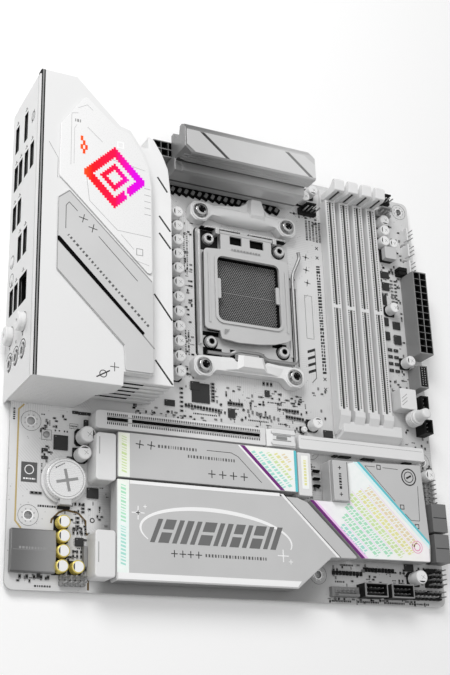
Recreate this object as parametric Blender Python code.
"""A micro-ATX motherboard with a socket for a land-grid processor, lying flat with its components up.

Everything is laid out in board coordinates in millimetres: u runs from the rear edge, where the ports are,
towards the front edge; v runs down from the top edge; z is the height above the component side. place()
turns them into metres about the origin, the middle of the underside of the whole assembly: +X is u,
+Y is -v and +Z is out of the component side.
"""

import math

import bmesh
import bpy
from mathutils import Vector, geometry

MM = 0.001

# The bare board: the micro-ATX outline and hole pattern.
BOARD = 244.0
BOARD_THICK = 1.6
BOARD_CORNER = 4.0
BOARD_HOLE_R = 1.98
BOARD_HOLES = [
    (33.02, 6.35), (165.1, 6.35), (237.49, 6.35), (10.16, 163.83),
    (165.1, 163.83), (237.49, 163.83), (10.16, 209.55), (165.1, 229.87),
]
UNDERSIDE = 3.6  # the lowest pieces reach this far below the component side
GAP = 0.3  # between pieces that rest on each other

# The rear panel.
SHIELD_OUT = 3.0
SHIELD_THICK = 0.8
SHIELD_V = (-3.2, 155.6)
SHIELD_Z = (-3.4, 41.0)
PORT_FRONT = -1.9
ANTENNA_OUT = 6.5
COVER_TOP = 40.4
TRIM_TOP = 41.4

# The middle of the whole assembly's box.
CENTRE_U = (BOARD - ANTENNA_OUT) / 2
CENTRE_V = (BOARD + SHIELD_V[0]) / 2

# The processor socket and the cooler's hole pattern around it.
SOCKET_U, SOCKET_V = 127.04, 80.94
COOLER_PITCH_U, COOLER_PITCH_V = 54.0, 90.0
COOLER_HOLE_R = 2.1
FRAME_SCREWS = [(106.0, 50.4), (150.0, 50.4), (106.0, 110.8), (150.0, 110.8)]

# The memory slots.
DIMM_FIRST_U, DIMM_PITCH, DIMM_WIDTH = 183.7, 9.35, 6.5
DIMM_LATCH_AXIS = (9.5, 4.3)
CARD_HALF = 0.8  # half the width of a groove for a memory card

# Looks: colour, roughness, metallic.
WHITE = ((0.83, 0.84, 0.86), 0.45, 0.1)
BOARD_WHITE = ((0.74, 0.75, 0.77), 0.5, 0.0)
SILVER = ((0.72, 0.73, 0.75), 0.35, 0.6)
STEEL = ((0.62, 0.62, 0.63), 0.3, 1.0)
GREY = ((0.42, 0.43, 0.45), 0.5, 0.3)
BLACK = ((0.03, 0.03, 0.035), 0.5, 0.0)
IVORY = ((0.80, 0.81, 0.82), 0.5, 0.0)


def place(u, v, z):
    """The point in metres of a place on the board."""
    return Vector(((u - CENTRE_U) * MM, (CENTRE_V - v) * MM, (z + UNDERSIDE) * MM))


def rect(a0, a1, b0, b1):
    return [(a0, b0), (a1, b0), (a1, b1), (a0, b1)]


def around(a, b, half_a, half_b):
    return rect(a - half_a, a + half_a, b - half_b, b + half_b)


def circle(a, b, r, sides=20):
    turn = 2 * math.pi / sides
    return [(a + r * math.cos(i * turn), b + r * math.sin(i * turn)) for i in range(sides)]


def rounded(points, radius, steps=4):
    """The outline with each corner turned into an arc; radius is one number or one for each corner."""
    out = []
    count = len(points)
    for i, corner in enumerate(points):
        r = radius[i] if isinstance(radius, (list, tuple)) else radius
        here = Vector(corner)
        back = (Vector(points[i - 1]) - here)
        ahead = (Vector(points[(i + 1) % count]) - here)
        if r <= 0:
            out.append(tuple(here))
            continue
        half = back.angle(ahead) / 2
        reach = min(r / math.tan(half), 0.49 * back.length, 0.49 * ahead.length)
        r = reach * math.tan(half)
        start, end = here + back.normalized() * reach, here + ahead.normalized() * reach
        middle = here + (back.normalized() + ahead.normalized()).normalized() * (r / math.sin(half))
        first = math.atan2(start.y - middle.y, start.x - middle.x)
        sweep = math.atan2(end.y - middle.y, end.x - middle.x) - first
        sweep = (sweep + math.pi) % (2 * math.pi) - math.pi
        for k in range(steps + 1):
            t = first + sweep * k / steps
            out.append((middle.x + r * math.cos(t), middle.y + r * math.sin(t)))
    return out


def inside(point, loop):
    hit = False
    for (ax, ay), (bx, by) in zip(loop, loop[1:] + loop[:1]):
        if (ay > point[1]) != (by > point[1]):
            hit ^= point[0] < (bx - ax) * (point[1] - ay) / (by - ay) + ax
    return hit


def fill(outer, holes):
    """Triangles over the outline less its holes, as indices into outer + all the holes' points."""
    loops = [outer] + holes
    points, edges = [], []
    for loop in loops:
        first = len(points)
        points += [Vector(p) for p in loop]
        edges += [(first + i, first + (i + 1) % len(loop)) for i in range(len(loop))]
    made = geometry.delaunay_2d_cdt(points, edges, [], 1, 1e-6)
    verts, faces, sources = made[0], made[2], made[3]
    kept = []
    for face in faces:
        centre = sum((verts[i] for i in face), Vector((0, 0))) / 3
        if inside(centre, outer) and not any(inside(centre, hole) for hole in holes):
            kept.append([sources[i][0] for i in face])
    return kept


def board_point(axis, a, b, t):
    return {"z": (a, b, t), "u": (t, a, b), "v": (a, t, b)}[axis]


def relief(name, look, outer, t0, t1, features=(), axis="z", origin=None, helper=False):
    """A closed solid: the outline from t0 to t1 along the axis. Each feature (loop, depth) is a stud or a
    pocket from the t1 face to that depth, or with a depth of None a hole right through."""
    loops = [list(loop) for loop, _ in features]
    through = [k for k, (_, depth) in enumerate(features) if depth is None]
    mesh = bmesh.new()
    centre = Vector((0, 0))
    for p in outer:
        centre += Vector(p) / len(outer)
    base = Vector(origin or board_point(axis, centre.x, centre.y, (t0 + t1) / 2))
    at = place(*base)

    def ring(loop, t):
        return [mesh.verts.new(place(*board_point(axis, a, b, t)) - at) for a, b in loop]

    def wall(low, high):
        for i in range(len(low)):
            j = (i + 1) % len(low)
            mesh.faces.new((low[i], low[j], high[j], high[i]))

    outer = list(outer)
    low, high = ring(outer, t0), ring(outer, t1)
    wall(low, high)
    tops, lows = [], []
    for k, loop in enumerate(loops):
        tops.append(ring(loop, t1))
        if k in through:
            lows.append(ring(loop, t0))
            wall(lows[-1], tops[-1])
        else:
            floor = ring(loop, features[k][1])
            wall(floor, tops[-1])
            for tri in fill(loop, []):
                mesh.faces.new([floor[i] for i in tri])
    for start, rings, holes in (
        (high, tops, loops),
        (low, lows, [loops[k] for k in through]),
    ):
        everything = start + [vert for one in rings for vert in one]
        for tri in fill(outer, holes):
            mesh.faces.new([everything[i] for i in tri])
    return finish(name, look, mesh, at, helper)


def finish(name, look, mesh, at, helper=False):
    bmesh.ops.recalc_face_normals(mesh, faces=mesh.faces)
    data = bpy.data.meshes.new(name)
    mesh.to_mesh(data)
    mesh.free()
    piece = bpy.data.objects.new(name, data)
    piece.location = at
    bpy.context.scene.collection.objects.link(piece)
    if helper:
        piece.hide_render = True
        piece.display_type = "WIRE"
    else:
        data.materials.append(material(name, look))
    return piece


def material(name, look):
    colour, roughness, metallic = look
    made = bpy.data.materials.new(name)
    made.use_nodes = True
    shader = made.node_tree.nodes["Principled BSDF"]
    shader.inputs["Base Color"].default_value = (*colour, 1)
    shader.inputs["Roughness"].default_value = roughness
    shader.inputs["Metallic"].default_value = metallic
    made.diffuse_color = (*colour, 1)
    return made


def combine(piece, operation, *others):
    for other in others:
        step = piece.modifiers.new(other.name, "BOOLEAN")
        step.operation = operation
        step.solver = "EXACT"
        step.object = other
    return piece


def cut_box(name, u, v, z):
    return relief(name, None, rect(*u, *v), z[0], z[1], helper=True)


def block(name, look, u, v, z, radius=0.0, origin=None):
    outline = rect(*u, *v)
    return relief(name, look, rounded(outline, radius) if radius else outline, *z, origin=origin)


def turned(name, look, profile, u, v, z=0.0, sides=24, axis="z", recess=None):
    """A solid of revolution from (radius, height) pairs that start and end on its axis."""
    mesh = bmesh.new()
    at = place(u, v, z)
    rings = []
    for radius, height in profile:
        if radius == 0:
            rings.append([mesh.verts.new(offset(axis, 0, 0, height))])
            continue
        rings.append([
            mesh.verts.new(offset(axis, radius * math.cos(t), radius * math.sin(t), height))
            for t in (2 * math.pi * i / sides for i in range(sides))
        ])
    for low, high in zip(rings, rings[1:]):
        for i in range(sides):
            j = (i + 1) % sides
            if len(low) == 1:
                mesh.faces.new((low[0], high[j], high[i]))
            elif len(high) == 1:
                mesh.faces.new((low[i], low[j], high[0]))
            else:
                mesh.faces.new((low[i], low[j], high[j], high[i]))
    piece = finish(name, look, mesh, at)
    piece.data.shade_smooth()
    piece.data.set_sharp_from_angle(angle=math.radians(40))
    return piece


def offset(axis, a, b, t):
    return Vector((t, a, b) if axis == "x" else (a, b, t)) * MM


def clear_scene():
    for old in list(bpy.data.objects):
        bpy.data.objects.remove(old)


def build_board():
    holes = [(circle(u, v, BOARD_HOLE_R), None) for u, v in BOARD_HOLES]
    holes += [(circle(u, v, COOLER_HOLE_R), None) for u, v in cooler_holes()]
    outline = rounded(rect(0, BOARD, 0, BOARD), BOARD_CORNER, 6)
    relief("circuit_board", BOARD_WHITE, outline, -BOARD_THICK, 0, holes)


def cooler_holes():
    return [
        (SOCKET_U + i * COOLER_PITCH_U / 2, SOCKET_V + j * COOLER_PITCH_V / 2)
        for j in (-1, 1) for i in (-1, 1)
    ]


def build_socket():
    su, sv = SOCKET_U + 0.9, SOCKET_V - 0.4
    pocket = rounded(around(su, sv, 20.2, 20.2), 1.0, 2)
    relief("socket_base", BLACK, around(su, sv, 23, 23), GAP, 3.3, [(pocket, 1.6)])
    outer = rounded(rect(99.0, 156.0, 44.0, 118.6), 1.5, 3)
    window = rounded(around(su, sv, 23.6, 23.6), 1.0, 2)
    bores = [(circle(u, v, 2.3, 16), None) for u, v in FRAME_SCREWS]
    frame = relief("socket_frame", STEEL, outer, GAP, 1.8, [(window, None)] + bores)
    posts = [cut_box("frame_wall_left", (99.0, 100.2), (46.5, 113.0), (1.0, 4.8))]
    posts += [cut_box("frame_wall_right", (154.8, 156.0), (60.0, 113.0), (1.0, 2.6))]
    posts += [
        cut_box("frame_post_%d" % i, (u, u + 2.2), (45.2, 48.4), (1.0, 7.2))
        for i, u in enumerate((108.6, 144.2))
    ]
    posts += [cut_box("frame_hook", (155.5, 161.0), (66.0, 71.0), (0.5, 1.7))]
    combine(frame, "UNION", *posts)
    for i, (u, v) in enumerate(FRAME_SCREWS):
        profile = [(0, 0.4), (1.7, 0.4), (1.7, 2.1), (3.3, 2.1), (3.3, 3.4), (2.7, 4.1), (1.7, 4.1),
                   (1.4, 3.2), (0, 3.2)]
        turned("socket_screw_%d" % (i + 1), STEEL, profile, u, v, sides=20)
    corners = [
        (101.6, 58.0), (111.8, 57.0), (111.8, 46.8), (143.2, 46.8), (143.2, 57.0), (153.4, 58.0),
        (152.8, 104.4), (150.8, 106.0), (143.2, 108.4), (133.6, 109.8), (120.6, 110.4), (110.8, 109.2),
        (110.0, 105.0), (101.2, 104.6),
    ]
    radii = [2, 0.5, 0.3, 0.3, 0.5, 2, 1, 0.5, 2, 2, 2, 1, 0.5, 2]
    opening = [
        (108.8, 61.6), (147.2, 61.6), (147.2, 74.4), (145.0, 74.4), (145.0, 84.4), (147.2, 84.4),
        (147.2, 99.4), (108.8, 99.4), (108.8, 86.2), (111.2, 86.2), (111.2, 74.6), (108.8, 74.6),
    ]
    opening_radii = [2.5, 2.5, 0.6, 0.6, 0.6, 0.6, 2.5, 2.5, 0.6, 0.6, 0.6, 0.6]
    plate = relief(
        "socket_load_plate", STEEL, rounded(corners, radii, 3), 5.2, 6.4,
        [(rounded(opening, opening_radii, 3), None)], origin=(127.5, 46.8, 5.8),
    )
    slots = [
        cut_box("plate_slot_%d" % i, (u, u + wide), (48.2, 53.2), (4, 8))
        for i, (u, wide) in enumerate(((117.4, 7.4), (129.8, 8.6)))
    ]
    combine(plate, "DIFFERENCE", *slots)
    pin = relief("plate_pin", None, circle(46.8, 5.8, 1.2, 12), 111.2, 143.8, axis="u", helper=True)
    combine(plate, "UNION", pin)
    build_lever()
    holes = [(circle(u, v, 2.4, 16), None) for u, v in cooler_holes()]
    holes += [(rounded(around(SOCKET_U, SOCKET_V, 11, 11), 2, 3), None)]
    outline = rounded(around(SOCKET_U, SOCKET_V, 32, 50), 5, 4)
    relief("socket_backplate", GREY, outline, -UNDERSIDE, -BOARD_THICK - GAP, holes)


LEVER_AXIS = (117.0, 3.4)


def build_lever():
    """A bent wire: its foot turns about u under the frame's lower edge and its arm lies along the side."""
    v0, z0 = LEVER_AXIS
    corners = [
        (103.5, v0, z0), (116.5, v0, z0), (120.5, v0 - 2.2, z0 + 1.7), (134.5, v0 - 2.2, z0 + 1.7),
        (138.5, v0, z0), (157.6, v0, z0), (157.6, 64.0, z0), (160.2, 58.0, z0 + 0.4),
        (162.4, 52.6, z0 + 1.0), (161.4, 49.4, z0 + 1.4),
    ]
    bends = [0, 2.5, 2.5, 2.5, 2.5, 3.0, 6.0, 6.0, 2.0, 0]
    points = []
    for i, corner in enumerate(corners):
        here = Vector(corner)
        if bends[i] == 0:
            points.append(here)
            continue
        back, ahead = Vector(corners[i - 1]) - here, Vector(corners[i + 1]) - here
        reach = min(bends[i], 0.45 * back.length, 0.45 * ahead.length)
        start, end = here + back.normalized() * reach, here + ahead.normalized() * reach
        for k in range(5):
            t = k / 4
            points.append(start * (1 - t) ** 2 + here * 2 * t * (1 - t) + end * t * t)
    at = place(130.0, v0, z0)
    curve = bpy.data.curves.new("socket_lever", "CURVE")
    curve.dimensions = "3D"
    curve.bevel_depth = 1.0 * MM
    curve.bevel_resolution = 2
    curve.use_fill_caps = True
    spline = curve.splines.new("POLY")
    spline.points.add(len(points) - 1)
    for knot, p in zip(spline.points, points):
        knot.co = (*(place(*p) - at), 1)
    lever = bpy.data.objects.new("socket_lever", curve)
    lever.location = at
    curve.materials.append(material("socket_lever", STEEL))
    bpy.context.scene.collection.objects.link(lever)


# The cooler's two brackets: a boss round each screw and a bar between them. The upper one has a tab towards
# the top edge, and the lower one a notch that the lever's crank turns in.
BRACKET_TOP = 6.2
BRACKET_BORE_R = 2.4
BRACKETS = {
    "cooler_bracket_top": [
        (94.2, 32.5), (96.5, 30.2), (104.5, 30.0), (108.0, 31.0), (124.4, 28.4), (129.0, 25.6),
        (130.4, 22.4), (138.0, 22.4), (139.0, 26.0), (143.0, 30.2), (149.0, 30.4), (157.5, 30.2),
        (160.0, 32.5), (160.0, 39.0), (157.5, 41.6), (151.0, 41.6), (147.0, 37.0), (107.0, 37.0),
        (103.4, 41.6), (96.8, 41.6), (94.2, 39.0),
    ],
    "cooler_bracket_bottom": [
        (94.2, 123.0), (96.6, 120.4), (104.0, 120.0), (117.6, 119.4), (119.0, 121.4), (136.0, 121.4),
        (137.4, 119.4), (145.0, 120.2), (157.5, 120.4), (160.0, 122.6), (160.0, 129.0), (157.2, 131.6),
        (151.0, 131.6), (147.0, 127.4), (107.0, 127.4), (103.4, 131.6), (96.8, 131.6), (94.2, 129.0),
    ],
}
BRACKET_CORNER_R = 2.5


def build_cooler_mounts():
    holes = cooler_holes()
    for (name, outline), screws in zip(BRACKETS.items(), (holes[:2], holes[2:])):
        features = [(circle(u, v, BRACKET_BORE_R, 16), None) for u, v in screws]
        relief(name, SILVER, rounded(outline, BRACKET_CORNER_R, 3), GAP, BRACKET_TOP, features)
    for i, (u, v) in enumerate(holes):
        profile = [(0, -3.2), (1.75, -3.2), (1.75, 6.5), (4.1, 6.5), (4.1, 7.4), (3.4, 8.6), (2.2, 8.9),
                   (1.6, 7.6), (0, 7.6)]
        turned("cooler_screw_%d" % (i + 1), STEEL, profile, u, v, sides=24)


USB_MOUTH = (13.2, 5.4)


def mouth(v, z, width, height):
    return rect(v - width / 2, v + width / 2, z - height / 2, z + height / 2)


# Each port block: its extent in v and z, how deep it is, and its mouths (v, z, width, height).
PORT_BLOCKS = {
    "video_ports": ((6.4, 24.6), (GAP, 23.4), 16.0,
                    [(14.9, 4.2, 14.4, 5.4), (15.6, 19.4, 15.4, 5.2)]),
    "usb_ports_upper": ((29.9, 45.5), (GAP, 34.8), 16.5,
                        [(37.6, z, *USB_MOUTH) for z in (4.2, 12.0, 21.6, 31.0)]),
    "usb_ports_middle": ((52.4, 68.0), (GAP, 16.0), 16.5, [(60.2, z, *USB_MOUTH) for z in (3.9, 12.2)]),
    "usb_ports_raised": ((73.4, 89.6), (8.4, 28.0), 16.5, [(81.4, z, *USB_MOUTH) for z in (15.0, 24.0)]),
    "network_and_usb_ports": ((97.8, 115.2), (GAP, 31.0), 19.5,
                              [(106.4, 3.9, *USB_MOUTH), (106.4, 11.6, *USB_MOUTH),
                               (106.2, 23.0, 14.4, 11.6)]),
    "audio_jacks": ((132.4, 145.0), (GAP, 31.5), 14.0, []),
}
ANTENNAS = [("antenna_socket_upper", 124.6, 26.4), ("antenna_socket_lower", 124.6, 5.6)]
JACKS = [(138.6, 4.9), (138.6, 15.2), (138.6, 25.8)]
BUTTONS = [("firmware_button", 84.2, 3.2, 2.3), ("clear_button", 94.0, 3.2, 1.6)]


def build_rear_panel():
    holes = []
    for name, (v, z, depth, mouths) in PORT_BLOCKS.items():
        pockets = [(mouth(*m), PORT_FRONT + 9.0) for m in mouths]
        if name == "audio_jacks":
            pockets = [(circle(a, b, 1.8, 14), PORT_FRONT + 9.0) for a, b in JACKS]
            holes += [(circle(a, b, 4.2, 20), None) for a, b in JACKS]
        holes += [(mouth(a, b, w + 0.5, h + 0.5), None) for a, b, w, h in mouths]
        # The mouths are pockets in the face towards the rear, so the block is built from its back wall.
        features = [(loop, deep) for loop, deep in pockets]
        relief(name, STEEL if mouths else BLACK, rect(*v, *z), PORT_FRONT + depth, PORT_FRONT,
               features, axis="u")
    for name, v, z in ANTENNAS:
        holes.append((circle(v, z, 5.0, 24), None))
        profile = [(0, 12.0), (4.6, 12.0), (4.6, 0.8), (4.2, 0), (1.2, 0), (1.2, 3.0), (0, 3.0)]
        turned(name, WHITE, profile[::-1], -ANTENNA_OUT, v, z, axis="x")
    for name, v, z, r in BUTTONS:
        holes.append((circle(v, z, r + 0.3, 20), None))
        profile = [(0, 0), (r - 0.3, 0), (r, 0.3), (r, 5.4), (0, 5.4)]
        turned(name, BLACK, profile, -SHIELD_OUT - 0.5, v, z, sides=20, axis="x")
    relief("io_shield", WHITE, rect(*SHIELD_V, *SHIELD_Z), -SHIELD_OUT, -SHIELD_OUT + SHIELD_THICK,
           holes, axis="u")


# The cover overhangs the board's top edge, past the rear shield.
COVER_OUTLINE = [
    (-1.9, -6.6), (16.6, -6.6), (39.8, 16.4), (45.3, 17.8), (53.0, 29.5), (56.2, 38.0),
    (57.2, 50.0), (57.2, 148.2), (42.0, 148.2), (41.6, 155.2), (-1.9, 155.2),
]
COVER_INNER = [
    (-6.0, SHIELD_V[0] + 1.8), (16.9, SHIELD_V[0] + 1.8), (37.9, 18.2), (44.3, 19.6), (51.3, 30.4),
    (54.3, 38.4), (55.4, 50.2), (55.4, 146.4), (40.3, 146.4), (39.8, 153.4), (-6.0, 153.4),
]
BAND = [(7.6, 63.6), (13.2, 58.8), (56.6, 100.6), (56.6, 147.6), (42.4, 147.6), (41.6, 135.4), (7.8, 101.6)]
LIGHT_PANEL = [
    (8.2, 23.0), (21.0, 4.0), (38.2, 19.0), (44.8, 20.4), (51.6, 31.0), (55.0, 39.0), (56.2, 50.0),
    (56.2, 98.4), (13.2, 56.8), (8.0, 52.0),
]


def build_rear_cover():
    cover = relief("io_cover", WHITE, COVER_OUTLINE, GAP, COVER_TOP)
    room = relief("cover_room", None, COVER_INNER, -2, COVER_TOP - 2.2, helper=True)
    side = cut_box("cover_side", (20.0, 70.0), (20.5, 151.0), (-2, 35.6))
    corner = relief(
        "cover_corner", None,
        [(44.0, 28.6), (41.0, 28.6), (34.4, 22.6), (32.3, 7.0), (30.6, -2), (44.0, -2)],
        150.0, 158.0, axis="v", helper=True,
    )
    top_side = cut_box("cover_top_side", (36.0, 70.0), (10.0, 60.0), (-2, 35.6))
    combine(cover, "DIFFERENCE", room, side, corner, top_side)
    relief("io_band", SILVER, rounded(BAND, 0.8, 2), COVER_TOP + GAP, TRIM_TOP)
    relief("io_light_panel", WHITE, rounded(LIGHT_PANEL, 1.5, 3), COVER_TOP + GAP, TRIM_TOP)


SIDE_SINK = [
    (24.0, 19.0), (44.0, 22.0), (57.8, 22.0), (57.8, 14.8), (61.0, 16.6), (65.4, 24.0), (68.6, 32.0),
    (70.2, 49.0), (70.0, 150.2), (24.0, 150.2),
]


def build_heatsinks():
    sink = relief("vrm_heatsink_side", WHITE, SIDE_SINK, 3.4, 34.2)
    grooves = [
        cut_box("side_groove_%d" % i, (22.0, 72.0), (144.0, 152.0), (z, z + 2.6))
        for i, z in enumerate((7.0, 12.4, 17.8, 23.2, 28.6))
    ]
    combine(sink, "DIFFERENCE", *grooves)
    profile = [
        (22.0, 3.4), (22.4, 4.2), (22.4, 18.6), (21.4, 20.2), (16.4, 20.6), (16.4, 23.2), (18.4, 24.4),
        (18.4, 33.0), (17.6, 33.7), (3.4, 33.7), (1.0, 32.8), (-0.8, 29.4), (-0.8, 27.0), (4.4, 25.8),
        (4.4, 22.8), (-0.8, 18.8), (-0.8, 15.6), (12.6, 15.6), (12.6, 3.4),
    ]
    sink = relief("vrm_heatsink_top", GREY, profile, 79.0, 158.6, axis="u")
    corner = relief("sink_corner", None, [(151.6, -3.0), (162.0, -3.0), (162.0, 5.0), (158.6, 5.0)],
                    0.0, 36.0, helper=True)
    near_outline = [(76.0, 30.0), (76.0, 14.4), (78.8, 14.4), (83.4, 19.0), (83.4, 30.0)]
    near = relief("sink_near_corner", None, near_outline, 19.8, 36.0, helper=True)
    combine(sink, "DIFFERENCE", corner, near)


# The cells of the two power sockets.
CELL_HALF, CELL_PITCH, CELL_FLOOR = 1.65, 4.2, 4.0


def build_power():
    cells = [
        (around(u, v, CELL_HALF, CELL_HALF), CELL_FLOOR)
        for u in (236.5, 240.9) for v in (54.3 + CELL_PITCH * i for i in range(12))
    ]
    relief("power_socket_24", GREY, rect(234.0, 243.4, 51.6, 103.2), GAP, 13.0, cells)
    cells = [
        (around(u, v, CELL_HALF, CELL_HALF), CELL_FLOOR)
        for v in (4.4, 8.8) for u in (71.8 + CELL_PITCH * i for i in range(4))
    ]
    relief("power_socket_8", GREY, rect(69.4, 86.8, 1.9, 11.4), GAP, 13.4, cells)


def build_memory_slots():
    side = [
        (3.6, GAP), (3.6, 1.8), (12.8, 1.8), (12.8, 7.2), (141.0, 7.2), (141.6, 8.6), (144.6, 8.6),
        (152.0, 5.2), (153.6, 1.6), (153.6, GAP),
    ]
    v0, z0 = DIMM_LATCH_AXIS
    latch_side = [
        (8.2, 3.0), (10.8, 3.0), (12.4, 5.0), (12.4, 17.0), (11.6, 18.6), (5.8, 19.2), (4.2, 18.2),
        (4.2, 16.6), (7.4, 13.0), (7.6, 6.0),
    ]
    for i in range(4):
        u = DIMM_FIRST_U + DIMM_PITCH * i
        half = DIMM_WIDTH / 2
        slot = relief("memory_slot_%d" % (i + 1), IVORY, side, u - half, u + half, axis="u")
        grooves = [
            cut_box("memory_groove_%d_%d" % (i, k), (u - CARD_HALF, u + CARD_HALF), v, (2.2, 12.0))
            for k, v in enumerate(((13.8, 78.8), (80.8, 140.4)))
        ]
        combine(slot, "DIFFERENCE", *grooves)
        latch = relief("memory_latch_%d" % (i + 1), IVORY, latch_side, u - half, u + half, axis="u",
                       origin=(u, v0, z0))
        groove = cut_box("latch_groove_%d" % i, (u - CARD_HALF, u + CARD_HALF), (11.2, 14.0), (7.0, 17.4))
        combine(latch, "DIFFERENCE", groove)


PCIE_U, PCIE_V = (38.8, 131.7), (158.0, 167.2)
PCIE_LATCH_AXIS = (148.0, 1.4)
RELEASE_AT = (229.8, 141.2)


def build_expansion_slot():
    outline = rounded(rect(*PCIE_U, *PCIE_V), [2.0, 0.6, 0.6, 2.0], 3)
    grooves = [(rect(44.7, 55.7, 161.2, 163.0), 2.6), (rect(57.7, 128.7, 161.2, 163.0), 2.6)]
    relief("expansion_slot", IVORY, outline, GAP, 11.2, grooves)
    side = [
        (133.0, 0.8), (149.6, 0.8), (150.4, 2.0), (150.4, 9.6), (149.0, 11.2), (136.0, 11.2), (133.0, 9.4),
    ]
    relief("expansion_latch", IVORY, side, 157.8, 167.0, axis="v",
           origin=(PCIE_LATCH_AXIS[0], 162.4, PCIE_LATCH_AXIS[1]))
    block("release_cover", WHITE, (153.6, 233.8), (158.2, 165.8), (GAP, 7.4), radius=1.0)
    profile = [(0, 4.4), (4.2, 4.4), (4.2, 11.4), (3.4, 12.2), (3.0, 18.6), (2.4, 19.4), (0, 19.6)]
    turned("release_button", WHITE, profile, *RELEASE_AT)
    block("release_housing", WHITE, (220.4, 231.2), (124.4, 136.4), (GAP, 9.0), radius=0.8)


M2_LATCH_U = (149.4, 157.2)


def build_storage_covers():
    block("storage_cover_upper", SILVER, (49.6, 148.6), (168.6, 190.9), (3.2, 12.8), radius=0.8)
    lower = [
        (49.6, 191.5), (148.4, 193.4), (154.2, 195.4), (183.2, 223.0), (166.8, 223.2), (149.2, 237.4),
        (146.6, 239.6), (49.6, 239.6),
    ]
    relief("storage_cover_lower", SILVER, rounded(lower, 0.8, 2), 3.2, 11.8)
    block("storage_end_upper", WHITE, (38.8, 48.9), (169.8, 193.2), (GAP, 12.8), radius=1.6)
    block("storage_end_lower", WHITE, (38.8, 48.9), (216.8, 238.8), (GAP, 12.8), radius=1.6)
    block("storage_latch", IVORY, M2_LATCH_U, (169.4, 192.2), (0.6, 12.4), radius=0.6)
    sink = [
        (155.9, 193.6), (169.2, 193.6), (169.2, 171.4), (228.0, 169.2), (229.8, 213.6), (229.0, 222.2),
        (185.4, 222.6),
    ]
    relief("chipset_heatsink", WHITE, rounded(sink, 0.8, 2), 2.4, 10.8)
    block("chipset_label", SILVER, (169.4, 179.0), (172.0, 193.4), (10.8 + GAP, 14.0), radius=0.4)


def build_small_blocks():
    turned("battery_holder", BLACK, [(0, GAP), (11.2, GAP), (11.4, 1.9), (0, 1.9)], 26.7, 192.2, sides=32)
    turned("coin_cell", STEEL, [(0, 2.2), (9.7, 2.2), (10.0, 2.5), (10.0, 5.0), (9.6, 5.4), (0, 5.4)],
           26.7, 192.2, sides=40)
    side = [(216.6, GAP), (216.6, 3.4), (217.2, 3.8), (226.4, 4.6), (235.8, 3.8), (236.4, 3.4), (236.4, GAP)]
    relief("audio_shield", STEEL, side, 1.4, 22.8, axis="u")
    for name, v in (("drive_sockets_a", (189.4, 205.0)), ("drive_sockets_b", (206.2, 221.6))):
        mouths = [(rect(v[0] + 1.6, v[1] - 1.6, z, z + 2.4), 238.0) for z in (1.3, 5.3)]
        relief(name, GREY, rect(*v, GAP, 8.8), 234.4, 244.0, mouths, axis="u")
    rim = [(rect(234.5, 238.1, 111.0, 122.0), 3.0)]
    relief("front_port_header", BLACK, rect(233.4, 239.2, 109.8, 123.2), GAP, 11.0, rim)


clear_scene()
build_board()
build_socket()
build_cooler_mounts()
build_rear_panel()
build_rear_cover()
build_heatsinks()
build_power()
build_memory_slots()
build_expansion_slot()
build_storage_covers()
build_small_blocks()
